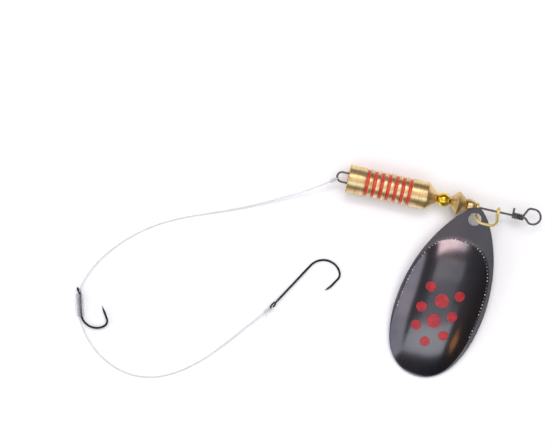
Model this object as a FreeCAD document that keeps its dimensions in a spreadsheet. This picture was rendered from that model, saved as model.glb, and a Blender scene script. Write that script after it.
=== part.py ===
"""Inline spinner: a weighted fishing lure whose blade turns round a wire shaft.

Lengths are in millimetres.  Each piece is first drawn in the shaft's frame: X runs along the
shaft from the body's rear face towards the line-tie eye, Y is across, Z is up, and the shaft's
axis is y = z = 0.  SEAT then moves the whole lure so that it lies on the plane z = 0, with the
origin under the middle of the lure itself; the leader and its hooks lie beside it.
"""
import FreeCAD, Part
import Sketcher

import math
import os

from FreeCAD import Placement, Rotation, Vector

X_AXIS, Y_AXIS, Z_AXIS = Vector(1, 0, 0), Vector(0, 1, 0), Vector(0, 0, 1)

# The driving dimensions: alias, value, meaning.
SIZES = [
    ("wire_diameter", 0.6, "shaft wire"),
    ("running_gap", 0.08, "radial clearance of every bore on the shaft"),
    ("bead_gap", 0.1, "gap between neighbours on the shaft"),
    ("stack_travel", 3.3, "free travel of the stack along the shaft"),
    ("loop_inner_width", 2.2, "rear loop, between its legs"),
    ("loop_length", 3.4, "rear loop, behind the body"),
    ("eye_inner_diameter", 3.7, "line-tie eye"),
    ("eye_rise", 0.8, "eye's centre off the shaft's axis"),
    ("wrap_turns", 5, "turns of the closing wrap"),
    ("wrap_pitch", 0.64, "step from one turn to the next"),
    ("wrap_gap", 0.02, "gap between the wrap and the shaft it closes on"),
    ("tag_length", 1.5, "cut end of the wrap"),
    ("body_diameter", 8.0, "brass body"),
    ("body_length", 22.9, "body's cylinder"),
    ("nose_length", 2.9, "body's front cone"),
    ("nose_diameter", 2.8, "tip of the front cone"),
    ("groove_count", 7, "painted grooves"),
    ("first_groove", 5.5, "middle of the first groove"),
    ("groove_spacing", 2.04, "from groove to groove"),
    ("groove_width", 0.95, "groove"),
    ("groove_depth", 0.48, "groove"),
    ("enamel_thickness", 0.16, "paint in each groove"),
    ("pocket_gap", 0.15, "clearance of the body's rear pocket round the loop's two legs"),
    ("pocket_depth", 4.6, "pocket"),
    ("bead_diameter", 4.0, "round bead"),
    ("bicone_diameter", 7.0, "double-cone bead at its edge"),
    ("bicone_rear_diameter", 2.5, "its rear end"),
    ("bicone_front_diameter", 2.7, "its front end"),
    ("bicone_rear_length", 2.0, "its rear cone"),
    ("bicone_front_length", 2.7, "its front cone"),
    ("cup_diameter", 3.8, "bearing bead behind the clevis"),
    ("cup_length", 2.5, "bearing bead"),
    ("cup_nose_radius", 1.2, "its rounded front"),
    ("clevis_wire", 0.9, "clevis wire"),
    ("clevis_width", 6.0, "from ear to ear, middles"),
    ("clevis_reach", 5.32, "from the shaft's axis to the middle of the bow"),
    ("clevis_corner", 2.2, "bend at each end of the bow"),
    ("clevis_tilt", 35.0, "degrees from level, bow upwards"),
    ("ear_diameter", 2.7, "clevis's flattened ears"),
    ("ear_thickness", 0.8, "clevis's flattened ears"),
    ("blade_length", 51.4, "blade"),
    ("blade_width", 25.2, "blade at its widest"),
    ("blade_thickness", 0.6, "blade"),
    ("blade_hole_diameter", 3.7, "blade's hole"),
    ("blade_hole_inset", 3.46, "its centre from the blade's near end"),
    ("blade_turn", -98.3, "degrees, blade's long axis from +X"),
    ("blade_gap", 0.354, "clearance of the blade over the clevis's leg"),
    ("blade_near_side", -0.1, "blade's near end across the shaft"),
    ("dome_height", 3.4, "blade's dome above its rim"),
    ("dome_start", 10.3, "dome from the blade's near end"),
    ("far_rim", 0.5, "flat rim at the blade's far end"),
    ("rear_rim", 1.05, "flat rim on the side of the body"),
    ("front_rim", 1.55, "flat rim on the side of the eye"),
    ("dot_diameter", 3.0, "small painted dots"),
    ("big_dot_diameter", 4.1, "two middle dots"),
    ("dot_thickness", 0.06, "painted dots"),
    ("line_diameter", 0.35, "leader"),
    ("knot_gap", 0.05, "clearance of each knot's loop round its wire"),
    ("knot_length", 1.7, "each knot's barrel"),
    ("knot_diameter", 1.0, "each knot's barrel"),
    ("hook_wire", 0.6, "both hooks"),
    ("hook_eye_inner", 1.3, "hooks' eyes"),
    ("hook_eye_wire", 0.5, "hooks' eyes, drawn a little thinner than the shank"),
    ("point_length", 2.0, "tapered end of each hook"),
    ("barb_length", 0.9, "barb on each point"),
    ("barb_height", 0.35, "barb on each point"),
    ("sleeve_diameter", 1.9, "sleeve on the front hook's shank"),
    ("sleeve_length", 6.3, "sleeve"),
]

# The leader's route, chosen by hand: x and y in the shaft's frame, then height above the table.
LEADER_ROUTE = [
    (-9.5, -5.4, 2.6), (-16.5, -9.2, 1.4), (-24.5, -13.4, 0.7), (-33.5, -17.3, 0.35),
    (-42.5, -20.7, 0.3), (-50.6, -24.8, 0.25), (-57.8, -30.4, 0.3), (-63.4, -36.9, 0.6),
    (-66.5, -42.8, 0.95), (-68.1, -48.5, 1.02), (-66.3, -55.8, 0.6), (-62.6, -61.3, 0.3),
    (-57.2, -65.8, 0.25), (-50.5, -68.4, 0.25), (-43.4, -68.4, 0.3), (-36.6, -65.7, 0.25),
    (-30.4, -61.1, 0.3), (-25.0, -55.3, 0.45), (-20.2, -49.3, 0.8),
]
ROUTE_BEND_SHARE = 0.45

KNOT_TURNS = 5

# How softly the dome's shoulder runs out into the flat rim, as a share of its height.
DOME_EASE = 0.07

# Each hook: start of the shank (x, y in the shaft's frame), heading in degrees, side of the
# point (+1 left, -1 right of the heading), turn of the eye in degrees away from the point and
# its roll round the shank, length along the shank to the far side of the bend, how far across
# the bend begins to come back and by how much, its three radii, the gape, the lean of the
# point's leg in degrees, and the distance from the shank's start to the point along the shank.
HOOKS = {
    "front_hook": dict(start=(-67.4, -48.9), heading=-74.8, side=1, eye_turn=22, eye_roll=0,
                       bend=10.0, knee=5.4, lift=1.0, shank_radius=4.5, knee_radius=4.0,
                       leg_radius=1.7, gape=7.75, lean=17, point=3.6, sleeved=True),
    "tail_hook": dict(start=(-12.4, -39.3), heading=59.3, side=-1, eye_turn=0, eye_roll=25,
                      bend=19.8, knee=6.1, lift=1.3, shank_radius=5.0, knee_radius=4.0,
                      leg_radius=1.9, gape=8.4, lean=1, point=12.3, sleeved=False),
}

# Dots on the blade: distances along and across from the dome's middle.
SMALL_DOTS = [(-5.2, -4.6), (-5.4, 4.0), (1.1, -5.0), (0.8, 4.1), (6.6, -4.5), (6.7, 3.7),
              (10.1, -0.5)]
BIG_DOTS = [(-2.5, -0.3), (3.7, -0.3)]

doc = FreeCAD.newDocument("inline_spinner")
sheet = doc.addObject("Spreadsheet::Sheet", "sizes")
for row, (alias, value, meaning) in enumerate(SIZES, start=1):
    sheet.set(f"A{row}", alias)
    sheet.set(f"B{row}", str(value))
    sheet.setAlias(f"B{row}", alias)
    sheet.set(f"C{row}", meaning)
doc.recompute()


def size(alias):
    """A driving dimension as the sheet holds it."""
    return float(getattr(sheet, alias))


PARTS = {}


def finish(name, thing, placement):
    """Label a finished sub-part and seat it."""
    thing.Label = name
    thing.Placement = placement
    PARTS[name] = thing


# ---------------------------------------------------------------- places along the shaft
wire = size("wire_diameter")
body_front = size("body_length") + size("nose_length")
bead_middle = body_front + size("bead_diameter") / 2
bicone_rear = body_front + size("bead_diameter") + size("bead_gap")
bicone_front = bicone_rear + size("bicone_rear_length") + size("bicone_front_length")
cup_rear = bicone_front + size("bead_gap")
cup_front = cup_rear + size("cup_length")
rear_ear = cup_front + size("bead_gap") + size("ear_thickness") / 2
front_ear = rear_ear + size("clevis_width")
wrap_rear = front_ear + size("ear_thickness") / 2 + size("bead_gap") + size("stack_travel")
wrap_radius = wire + size("wrap_gap")
wrap_front = wrap_rear + wire / 2 + size("wrap_turns") * size("wrap_pitch")
eye_radius = (size("eye_inner_diameter") + wire) / 2
eye_middle = wrap_front + eye_radius + wire
lure_front = eye_middle + eye_radius + wire / 2

clevis_tilt = math.radians(size("clevis_tilt"))
hole_edge = size("blade_hole_inset") - size("blade_hole_diameter") / 2 - size("blade_near_side")
blade_near_height = max(
    hole_edge * math.tan(clevis_tilt) + size("clevis_wire") / 2 / math.cos(clevis_tilt)
    + size("blade_gap"),
    size("cup_diameter") / 2 + size("bead_gap"))
blade_heading = math.radians(size("blade_turn"))
blade_pitch = math.degrees(math.asin(
    (blade_near_height + size("body_diameter") / 2) / size("blade_length")))
blade_far_side = (size("blade_near_side") + size("blade_length")
                  * math.cos(math.radians(blade_pitch)) * math.sin(blade_heading))
hole_x = rear_ear - 0.2
blade_near_x = hole_x - size("blade_hole_inset") * math.cos(blade_heading)

TABLE = -size("body_diameter") / 2
SEAT = Placement(
    Vector(-(lure_front - size("loop_length")) / 2,
           -(blade_far_side + size("body_diameter") / 2) / 2, -TABLE), Rotation())


# ---------------------------------------------------------------- helpers
def rounded_path(corners, radii):
    """A wire of straight runs joined by tangent arcs, one radius for each inner corner."""
    edges = []
    last = corners[0]
    for before, corner, after, radius in zip(corners, corners[1:], corners[2:], radii):
        back = (before - corner).normalize()
        ahead = (after - corner).normalize()
        half = (math.pi - back.getAngle(ahead)) / 2
        reach = radius * math.tan(half)
        start, end = corner + back * reach, corner + ahead * reach
        middle = corner + (back + ahead).normalize() * (radius / math.cos(half) - radius)
        if (start - last).Length > 1e-6:
            edges.append(Part.LineSegment(last, start).toShape())
        edges.append(Part.Arc(start, middle, end).toShape())
        last = end
    if (corners[-1] - last).Length > 1e-6:
        edges.append(Part.LineSegment(last, corners[-1]).toShape())
    return Part.Wire(edges)


def swept(name, path, diameter):
    """A round wire or line of the sheet's named diameter, swept along a path."""
    spine = doc.addObject("Part::Feature", name + "_path")
    spine.Shape = path
    section = doc.addObject("Part::Circle", name + "_section")
    section.setExpression("Radius", f"sizes.{diameter} / 2")
    first = path.OrderedEdges[0]
    section.Placement = Placement(
        first.valueAt(first.FirstParameter),
        Rotation(Z_AXIS, first.tangentAt(first.FirstParameter)))
    sweep = doc.addObject("Part::Sweep", name)
    sweep.Sections = [section]
    sweep.Spine = (spine, [f"Edge{n + 1}" for n in range(len(path.Edges))])
    sweep.Solid = True
    return sweep


def cylinder_on_shaft(name, start, length, diameter, extra=""):
    """A cylinder round the shaft's axis, from x = start."""
    rod = doc.addObject("Part::Cylinder", name)
    rod.setExpression("Radius", f"(sizes.{diameter}{extra}) / 2")
    rod.Height = length
    rod.Placement = Placement(Vector(start, 0, 0), Rotation(Y_AXIS, 90))
    return rod


def bored(name, solid, start, length):
    """The solid with the shaft's running bore through it."""
    bore = cylinder_on_shaft(name + "_bore", start, length, "wire_diameter",
                             " + 2 * sizes.running_gap")
    cut = doc.addObject("Part::Cut", name)
    cut.Base = solid
    cut.Tool = bore
    return cut


def turned_profile(body, name, corners):
    """A closed sketch in the body's XZ plane, each corner held by two expressions."""
    sketch = body.newObject("Sketcher::SketchObject", name)
    plane = [f for f in body.Origin.OriginFeatures if f.Role == "XZ_Plane"][0]
    sketch.AttachmentSupport = (plane, [""])
    sketch.MapMode = "FlatFace"
    count = len(corners)
    spots = [Vector(math.cos(2 * math.pi * n / count), 2 + math.sin(2 * math.pi * n / count), 0)
             for n in range(count)]
    for n in range(count):
        sketch.addGeometry(Part.LineSegment(spots[n], spots[(n + 1) % count]), False)
    for n in range(count):
        sketch.addConstraint(Sketcher.Constraint("Coincident", n, 2, (n + 1) % count, 1))
    for n, (along, out) in enumerate(corners):
        for kind, expression, value in (("DistanceX", along, spots[n].x),
                                        ("DistanceY", out, spots[n].y)):
            index = sketch.addConstraint(Sketcher.Constraint(kind, -1, 1, n, 1, value))
            sketch.setExpression(f"Constraints[{index}]", expression)
    return sketch


def revolved(body, name, sketch, kind="PartDesign::Revolution"):
    """The sketch turned once about the shaft's axis."""
    turn = body.newObject(kind, name)
    turn.Profile = sketch
    turn.ReferenceAxis = (sketch, ["H_Axis"])
    turn.Angle = 360
    return turn



# ---------------------------------------------------------------- shaft wire
def shaft_wire():
    """One length of wire: tucked end, rear loop, shaft, line-tie eye, closing wrap, cut end."""
    half = (size("loop_inner_width") + wire) / 2
    loop_back = -(size("loop_length") - wire / 2)
    tuck = size("pocket_depth") - wire
    crossing = wrap_front + 0.1
    turns = int(size("wrap_turns"))
    corners = [
        Vector(tuck - 1.2, -half * 0.55, 0), Vector(0.8, -half, 0), Vector(loop_back, -half, 0),
        Vector(loop_back, half, 0), Vector(1.0, half, 0), Vector(tuck, 0, 0),
    ]
    radii = [1.5, half, half, 1.5, 1.2]
    # the shaft, then once round the eye
    low, high = size("eye_rise") - eye_radius, size("eye_rise") + eye_radius
    corners += [Vector(crossing + 0.5, 0, 0), Vector(eye_middle - 0.8, low, 0),
                Vector(eye_middle + eye_radius, low, 0), Vector(eye_middle + eye_radius, high, 0),
                Vector(eye_middle - eye_radius * 0.75, high, 0)]
    radii += [1.2, 1.2, eye_radius, eye_radius, 1.3]
    # the wrap: four corners a turn, starting over the shaft and running back towards the body
    out = wrap_radius * math.sqrt(2)
    step = size("wrap_pitch") / 4
    for n in range(4 * turns - 1):
        angle = math.radians(45 + 90 * n)
        corners.append(Vector(wrap_front - step * n, out * math.cos(angle), out * math.sin(angle)))
        radii.append(wrap_radius * 0.97)
    radii[-4 * turns + 1] = wrap_radius * 0.8
    corners.append(Vector(corners[-1].x, wrap_radius + size("tag_length"), -wrap_radius))
    path = rounded_path(corners, radii)
    return path, swept("shaft_wire_sweep", path, "wire_diameter")


wire_path, wire_solid = shaft_wire()
finish("shaft_wire", wire_solid, SEAT)


# ---------------------------------------------------------------- turned pieces on the shaft
def body_weight():
    """The brass body: pocket, through bore, front cone and painted grooves cut by a pattern."""
    body = doc.addObject("PartDesign::Body", "body")
    radius, bore = "sizes.body_diameter / 2", "sizes.wire_diameter / 2 + sizes.running_gap"
    front = "sizes.body_length + sizes.nose_length"
    pocket = "sizes.loop_inner_width / 2 + sizes.wire_diameter + sizes.pocket_gap"
    outline = turned_profile(body, "body_outline", [
        ("0", pocket), ("0", radius), ("sizes.body_length", radius),
        (front, "sizes.nose_diameter / 2"), (front, bore), ("sizes.pocket_depth", bore),
        ("sizes.pocket_depth", pocket)])
    turn = revolved(body, "body_turn", outline)
    doc.recompute()
    start = "sizes.first_groove - sizes.groove_width / 2"
    end = "sizes.first_groove + sizes.groove_width / 2"
    floor, above = radius + " - sizes.groove_depth", radius + " + sizes.groove_depth"
    section = turned_profile(body, "groove_outline",
                             [(start, floor), (start, above), (end, above), (end, floor)])
    groove = revolved(body, "groove", section, "PartDesign::Groove")
    doc.recompute()
    grooves = body.newObject("PartDesign::LinearPattern", "grooves")
    grooves.Originals = [groove]
    grooves.Direction = (section, ["H_Axis"])
    grooves.Occurrences = int(size("groove_count"))
    grooves.setExpression("Length", "sizes.groove_spacing * (sizes.groove_count - 1)")
    body.Tip = grooves
    doc.recompute()
    ring = (size("groove_width") * math.pi / 4
            * (size("body_diameter") ** 2 - (size("body_diameter") - 2 * size("groove_depth")) ** 2))
    removed = turn.Shape.Volume - grooves.Shape.Volume
    if abs(removed - ring * size("groove_count")) > 0.01 * removed:
        raise RuntimeError("the grooves aren't all cut")
    return body


def groove_enamel():
    """A ring of paint on the floor of each groove."""
    rings = []
    for n in range(int(size("groove_count"))):
        start = size("first_groove") + n * size("groove_spacing") - size("groove_width") / 2
        ring = doc.addObject("Part::Cut", f"enamel_ring_{n}")
        ring.Base = cylinder_on_shaft(
            f"enamel_{n}", start, size("groove_width"), "body_diameter",
            " - 2 * sizes.groove_depth + 2 * sizes.enamel_thickness")
        ring.Tool = cylinder_on_shaft(
            f"enamel_floor_{n}", start, size("groove_width"), "body_diameter",
            " - 2 * sizes.groove_depth")
        rings.append(ring)
    group = doc.addObject("Part::Compound", "enamel")
    group.Links = rings
    return group


def round_bead():
    """A polished ball with a bore."""
    ball = doc.addObject("Part::Sphere", "ball")
    ball.setExpression("Radius", "sizes.bead_diameter / 2")
    ball.Placement = Placement(Vector(bead_middle, 0, 0), Rotation(Y_AXIS, 90))
    return bored("round_bead_bored", ball, body_front, size("bead_diameter"))


def bicone_bead():
    """Two cones back to back, turned in one piece."""
    body = doc.addObject("PartDesign::Body", "bicone")
    bore = "sizes.wire_diameter / 2 + sizes.running_gap"
    length = "sizes.bicone_rear_length + sizes.bicone_front_length"
    outline = turned_profile(body, "bicone_outline", [
        ("0", bore), ("0", "sizes.bicone_rear_diameter / 2"),
        ("sizes.bicone_rear_length", "sizes.bicone_diameter / 2"),
        (length, "sizes.bicone_front_diameter / 2"), (length, bore)])
    revolved(body, "bicone_turn", outline)
    return body


def cup_bead():
    """The bearing bead that the clevis runs against, rounded at its front."""
    rod = cylinder_on_shaft("cup_rod", cup_rear, size("cup_length"), "cup_diameter")
    doc.recompute()
    rounded = doc.addObject("Part::Fillet", "cup_rounded")
    rounded.Base = rod
    nose = min(size("cup_nose_radius"), size("cup_diameter") / 2 - wire, size("cup_length") - 0.2)
    edges = []
    for n, edge in enumerate(rod.Shape.Edges, start=1):
        if isinstance(edge.Curve, Part.Circle):
            radius = nose if edge.CenterOfMass.x > cup_rear + size("cup_length") / 2 else 0.15
            edges.append((n, radius, radius))
    rounded.Edges = edges
    return bored("cup_bead_bored", rounded, cup_rear, size("cup_length"))


def clevis():
    """A wire stirrup whose ends are flattened into ears with holes for the shaft."""
    tilt = Rotation(X_AXIS, -size("clevis_tilt"))

    def at(x, reach):
        return Vector(x, 0, 0) + tilt.multVec(Vector(0, -reach, 0))

    foot = (size("ear_diameter") + size("wire_diameter")) / 4
    reach, corner = size("clevis_reach"), size("clevis_corner")
    path = rounded_path([at(rear_ear, foot), at(rear_ear, reach), at(front_ear, reach),
                         at(front_ear, foot)], [corner, corner])
    bow = swept("clevis_bow", path, "clevis_wire")
    ears = []
    for name, middle in (("rear_ear", rear_ear), ("front_ear", front_ear)):
        ears.append(cylinder_on_shaft(name, middle - size("ear_thickness") / 2,
                                      size("ear_thickness"), "ear_diameter"))
    whole = doc.addObject("Part::MultiFuse", "clevis_whole")
    whole.Shapes = [bow] + ears
    return bored("clevis_bored", whole, rear_ear - size("ear_thickness"),
                 size("clevis_width") + 2 * size("ear_thickness"))


finish("body_weight", body_weight(), SEAT)
finish("groove_enamel", groove_enamel(), SEAT)
finish("round_bead", round_bead(), SEAT)
finish("bicone_bead", bicone_bead(), SEAT * Placement(Vector(bicone_rear, 0, 0), Rotation()))
finish("cup_bead", cup_bead(), SEAT)
finish("clevis", clevis(), SEAT)


# ---------------------------------------------------------------- blade
# Its own frame: X along its length from the near end, Y across, Z away from the hollow side.
BLADE_SEAT = SEAT * Placement(
    Vector(blade_near_x, size("blade_near_side"), blade_near_height),
    Rotation(Z_AXIS, size("blade_turn")) * Rotation(Y_AXIS, blade_pitch))


def blade_outline():
    """A long drop: round far end, sides drawn in to a small round near end."""
    length, half = size("blade_length"), size("blade_width") / 2
    side = [(0.022, 0.165), (0.10, 0.437), (0.255, 0.756), (0.42, 0.94), (0.585, 1.0),
            (0.76, 0.925), (0.90, 0.70), (0.978, 0.36)]
    left = [Vector(length * u, half * v, 0) for u, v in side]
    right = [Vector(p.x, -p.y, 0) for p in reversed(left)]
    curve = Part.BSplineCurve()
    curve.interpolate([Vector(0, 0, 0)] + left + [Vector(length, 0, 0)] + right, True)
    return Part.Wire([curve.toShape()])


dome_length = size("blade_length") - size("dome_start") - size("far_rim")
dome_width = size("blade_width") - size("rear_rim") - size("front_rim")
dome_middle = size("dome_start") + dome_length / 2
dome_side = (size("rear_rim") - size("front_rim")) / 2


def dome_rise(along, across):
    """Height of the blade's upper face: a flat crown, steep shoulders, a flat rim."""
    u = (along - dome_middle) / (dome_length / 2)
    v = (across - dome_side) / (dome_width / 2)
    inside = 1 - (abs(u) ** 2.5 + abs(v) ** 2.5) ** 1.04
    return size("dome_height") * (inside + math.hypot(inside, DOME_EASE)) / 2


def blade_face(lift):
    """The blade's curved face over its whole rectangle, lifted by an amount."""
    length, half = size("blade_length"), size("blade_width") / 2
    columns, rows, spare = 40, 26, 1.0
    grid = []
    for i in range(columns + 1):
        along = -spare + (length + 2 * spare) * i / columns
        across = [(half + spare) * (2 * j / rows - 1) for j in range(rows + 1)]
        grid.append([Vector(along, y, dome_rise(along, y) + lift) for y in across])
    surface = Part.BSplineSurface()
    surface.interpolate(grid)
    return surface.toShape()


def blade():
    """Pressed sheet: the drop's outline cut from a domed layer, less the hole."""
    thickness = size("blade_thickness")
    layer = blade_face(0).extrude(Z_AXIS * thickness)
    slab = Part.Face(blade_outline()).extrude(Z_AXIS * (size("dome_height") + 4 * thickness))
    slab.translate(-Z_AXIS * thickness)
    hole = Part.makeCylinder(size("blade_hole_diameter") / 2, 4 * thickness,
                             Vector(size("blade_hole_inset"), 0, -thickness))
    piece = doc.addObject("Part::Feature", "blade_sheet")
    piece.Shape = layer.common(slab).cut(hole).Solids[0]
    return piece


def blade_dots():
    """Round spots of paint that follow the dome."""
    thickness = size("blade_thickness")
    layer = blade_face(thickness).extrude(Z_AXIS * size("dot_thickness"))
    tall = size("dome_height") + 2 * thickness
    spots = []
    for places, diameter in ((SMALL_DOTS, "dot_diameter"), (BIG_DOTS, "big_dot_diameter")):
        for along, across in places:
            column = Part.makeCylinder(size(diameter) / 2, tall,
                                       Vector(dome_middle + along, dome_side + across, 0))
            spots.append(layer.common(column).Solids[0])
    piece = doc.addObject("Part::Feature", "dots")
    piece.Shape = Part.makeCompound(spots)
    return piece


finish("blade", blade(), BLADE_SEAT)
finish("blade_dots", blade_dots(), BLADE_SEAT)


# ---------------------------------------------------------------- hooks
hook_wire = size("hook_wire")
hook_eye_wire = size("hook_eye_wire")
hook_eye_radius = (size("hook_eye_inner") + hook_eye_wire) / 2


def hook_bend(plan):
    """The hook's wire in its own frame: X down the shank from its eye, Y towards its point."""
    lean = math.radians(plan["lean"])
    leg_x, leg_y = plan["bend"] - plan["lift"], plan["gape"]
    root = plan["point"] + size("point_length")
    fall = (leg_x - root) * math.tan(lean)
    corners = [Vector(0, 0, 0), Vector(plan["bend"], 0, 0), Vector(plan["bend"], plan["knee"], 0),
               Vector(leg_x, leg_y, 0), Vector(root, leg_y - fall, 0)]
    return rounded_path(corners, [plan["shank_radius"], plan["knee_radius"], plan["leg_radius"]])


def hook(name, plan):
    """Shank and bend, ringed eye, tapered point and barb."""
    path = hook_bend(plan)
    shank = swept(name + "_bend", path, "hook_wire")
    turn = math.radians(plan["eye_turn"])
    away = Vector(-math.cos(turn), -math.sin(turn), 0)
    ring = doc.addObject("Part::Torus", name + "_eye")
    ring.setExpression("Radius1", "(sizes.hook_eye_inner + sizes.hook_eye_wire) / 2")
    ring.setExpression("Radius2", "sizes.hook_eye_wire / 2")
    ring.Placement = Placement(
        away * hook_eye_radius,
        Rotation(away, plan["eye_roll"]) * Rotation(away, Vector(), away.cross(Z_AXIS), "ZXY"))
    tip_edge = path.OrderedEdges[-1]
    tip = tip_edge.valueAt(tip_edge.LastParameter)
    ahead = tip_edge.tangentAt(tip_edge.LastParameter)
    point = doc.addObject("Part::Cone", name + "_point")
    point.setExpression("Radius1", "sizes.hook_wire / 2")
    point.setExpression("Radius2", "sizes.hook_wire / 20")
    point.setExpression("Height", "sizes.point_length")
    point.Placement = Placement(tip, Rotation(Z_AXIS, ahead))
    barb = doc.addObject("Part::Feature", name + "_barb_blank")
    inward = Vector(ahead.y, -ahead.x, 0) * (1 if ahead.x < 0 else -1)
    if inward.y > 0:
        inward = inward * -1
    base = tip + ahead * (size("point_length") * 0.35)
    heel = base - ahead * (size("barb_length") * 0.1)
    wedge = Part.makePolygon([
        base + ahead * size("barb_length") * 0.7, base - ahead * size("barb_length") * 0.5,
        heel - ahead * size("barb_length") * 0.4 + inward * (size("barb_height") + hook_wire / 4),
        base + ahead * size("barb_length") * 0.7])
    blank = Part.Face(wedge).extrude(Z_AXIS * (hook_wire / 3))
    blank.translate(-Z_AXIS * (hook_wire / 6))
    barb.Shape = blank
    whole = doc.addObject("Part::MultiFuse", name + "_whole")
    whole.Shapes = [shank, ring, point, barb]
    return whole


def hook_seat(plan):
    """Where a hook lies: on its eye's ring, and on its bend or the end of its sleeve."""
    high = hook_eye_radius * math.cos(math.radians(plan["eye_roll"])) + hook_eye_wire / 2
    low, along = hook_wire / 2, plan["bend"]
    if plan["sleeved"]:
        low, along = size("sleeve_diameter") / 2, size("sleeve_length")
    dip = math.degrees(math.asin((high - low) / (along + hook_eye_radius)))
    rise = high - math.sin(math.radians(dip)) * hook_eye_radius
    flip = Rotation(X_AXIS, 0 if plan["side"] > 0 else 180)
    return SEAT * Placement(Vector(plan["start"][0], plan["start"][1], TABLE + rise),
                            Rotation(Z_AXIS, plan["heading"]) * Rotation(Y_AXIS, dip) * flip)


for hook_name, hook_plan in HOOKS.items():
    finish(hook_name, hook(hook_name, hook_plan), hook_seat(hook_plan))


# ---------------------------------------------------------------- leader and what is on it
def knot(name, ring_middle, ring_axis, heading):
    """A tied knot: its loop round a wire, then a barrel of turns; the line leaves its far end."""
    line = size("line_diameter")
    inner = wire / 2 if name == "leader_knot" else hook_eye_wire / 2
    ring_radius = inner + size("knot_gap") + line / 2
    ring = doc.addObject("Part::Torus", name + "_ring")
    ring.Radius1 = ring_radius
    ring.setExpression("Radius2", "sizes.line_diameter / 2")
    ring.Placement = Placement(ring_middle, Rotation(Z_AXIS, ring_axis))
    start = ring_middle + heading * ring_radius
    length, radius = size("knot_length"), size("knot_diameter") / 2
    step, valley = length / KNOT_TURNS, radius - line / 3
    outline = [Vector(0, 0, 0)]
    for n in range(KNOT_TURNS):
        outline += [Vector(valley, 0, step * n), Vector(radius, 0, step * (n + 0.3)),
                    Vector(radius, 0, step * (n + 0.7))]
    outline += [Vector(valley, 0, length), Vector(0, 0, length), outline[0]]
    barrel = doc.addObject("Part::Feature", name + "_barrel")
    barrel.Shape = Part.Face(Part.makePolygon(outline)).revolve(Vector(), Z_AXIS, 360)
    barrel.Placement = Placement(start, Rotation(Z_AXIS, heading))
    whole = doc.addObject("Part::Fuse", name + "_whole")
    whole.Base = ring
    whole.Tool = barrel
    return whole, start + heading * size("knot_length")


loop_half = (size("loop_inner_width") + wire) / 2
loop_middle = Vector(-(size("loop_length") - wire / 2) + loop_half, 0, 0)
tie_angle = math.radians(210)
tie_out = Vector(math.cos(tie_angle), math.sin(tie_angle), 0)
first_point = Vector(LEADER_ROUTE[0][0], LEADER_ROUTE[0][1], LEADER_ROUTE[0][2] + TABLE)
tie_spot = loop_middle + tie_out * loop_half
tie_heading = (first_point - tie_spot).normalize()
tie_axis = Z_AXIS.cross(tie_heading).normalize()
leader_knot, leader_start = knot("leader_knot", tie_spot, tie_axis, tie_heading)
tail_plan = HOOKS["tail_hook"]
tail_seat = SEAT.inverse() * hook_seat(tail_plan)
tail_tip = tail_seat.multVec(Vector(-2 * hook_eye_radius, 0, 0))
last_point = Vector(LEADER_ROUTE[-1][0], LEADER_ROUTE[-1][1], LEADER_ROUTE[-1][2] + TABLE)
tail_heading = (last_point - tail_tip).normalize()
tail_axis = tail_seat.Rotation.multVec(Rotation(-X_AXIS, tail_plan["eye_roll"]).multVec(Z_AXIS))
tail_knot, leader_end = knot("tail_knot", tail_tip, tail_axis, tail_heading)


def leader_path():
    """The leader's middle line, each bend as large as its two runs allow."""
    points = ([leader_start] + [Vector(x, y, high + TABLE) for x, y, high in LEADER_ROUTE]
              + [leader_end])
    radii = []
    for before, corner, after in zip(points, points[1:], points[2:]):
        turn = (corner - before).getAngle(after - corner)
        shorter = min((corner - before).Length, (after - corner).Length)
        radii.append(ROUTE_BEND_SHARE * shorter / math.tan(turn / 2))
    print("leader radii, mm:", [round(r, 1) for r in radii])
    return rounded_path(points, radii)


leader = leader_path()
leader_tube = swept("leader_tube", leader, "line_diameter")
finish("leader_line", leader_tube, SEAT)
finish("leader_knot", leader_knot, SEAT)
finish("tail_knot", tail_knot, SEAT)


def hook_sleeve():
    """A soft sleeve stretched over the front hook's shank and the line beside it."""
    front_seat = SEAT.inverse() * hook_seat(HOOKS["front_hook"])
    tube = doc.addObject("Part::Cylinder", "sleeve_tube")
    tube.setExpression("Radius", "sizes.sleeve_diameter / 2")
    tube.setExpression("Height", "sizes.sleeve_length")
    middle = -(size("line_diameter") + size("hook_wire")) / 4
    tube.Placement = front_seat * Placement(Vector(0, middle, 0), Rotation(Z_AXIS, X_AXIS))
    shank = doc.addObject("Part::Cylinder", "sleeve_shank_bore")
    shank.setExpression("Radius", "sizes.hook_wire / 2")
    shank.setExpression("Height", "sizes.sleeve_length + 2 * sizes.hook_wire")
    shank.Placement = front_seat * Placement(Vector(-hook_wire, 0, 0), Rotation(Z_AXIS, X_AXIS))
    line = swept("sleeve_line_bore", leader, "line_diameter")
    bores = doc.addObject("Part::Fuse", "sleeve_bores")
    bores.Base = shank
    bores.Tool = line
    sleeve = doc.addObject("Part::Cut", "sleeve_cut")
    sleeve.Base = tube
    sleeve.Tool = bores
    return sleeve


finish("hook_sleeve", hook_sleeve(), SEAT)


# ---------------------------------------------------------------- checks and files
doc.recompute()
for thing in doc.Objects:
    if {"Invalid", "Error"} & set(thing.State):
        raise RuntimeError(f"{thing.Label} did not build: {thing.State}")
for name, thing in PARTS.items():
    if thing.Shape.isNull() or not thing.Shape.isValid() or not thing.Shape.Solids:
        raise RuntimeError(f"{name} has no valid solid")
tube_volume = leader.Length * math.pi * size("line_diameter") ** 2 / 4
if abs(leader_tube.Shape.Volume / tube_volume - 1) > 0.01:
    raise RuntimeError("the leader's tube isn't its section times its length")
print("leader length, mm:", round(leader.Length, 2))

os.makedirs("parts", exist_ok=True)
for name, thing in PARTS.items():
    thing.Shape.exportStep(os.path.join("parts", name + ".step"))
    print(name, len(thing.Shape.Solids), round(thing.Shape.Volume, 2), thing.Shape.BoundBox)
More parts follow.
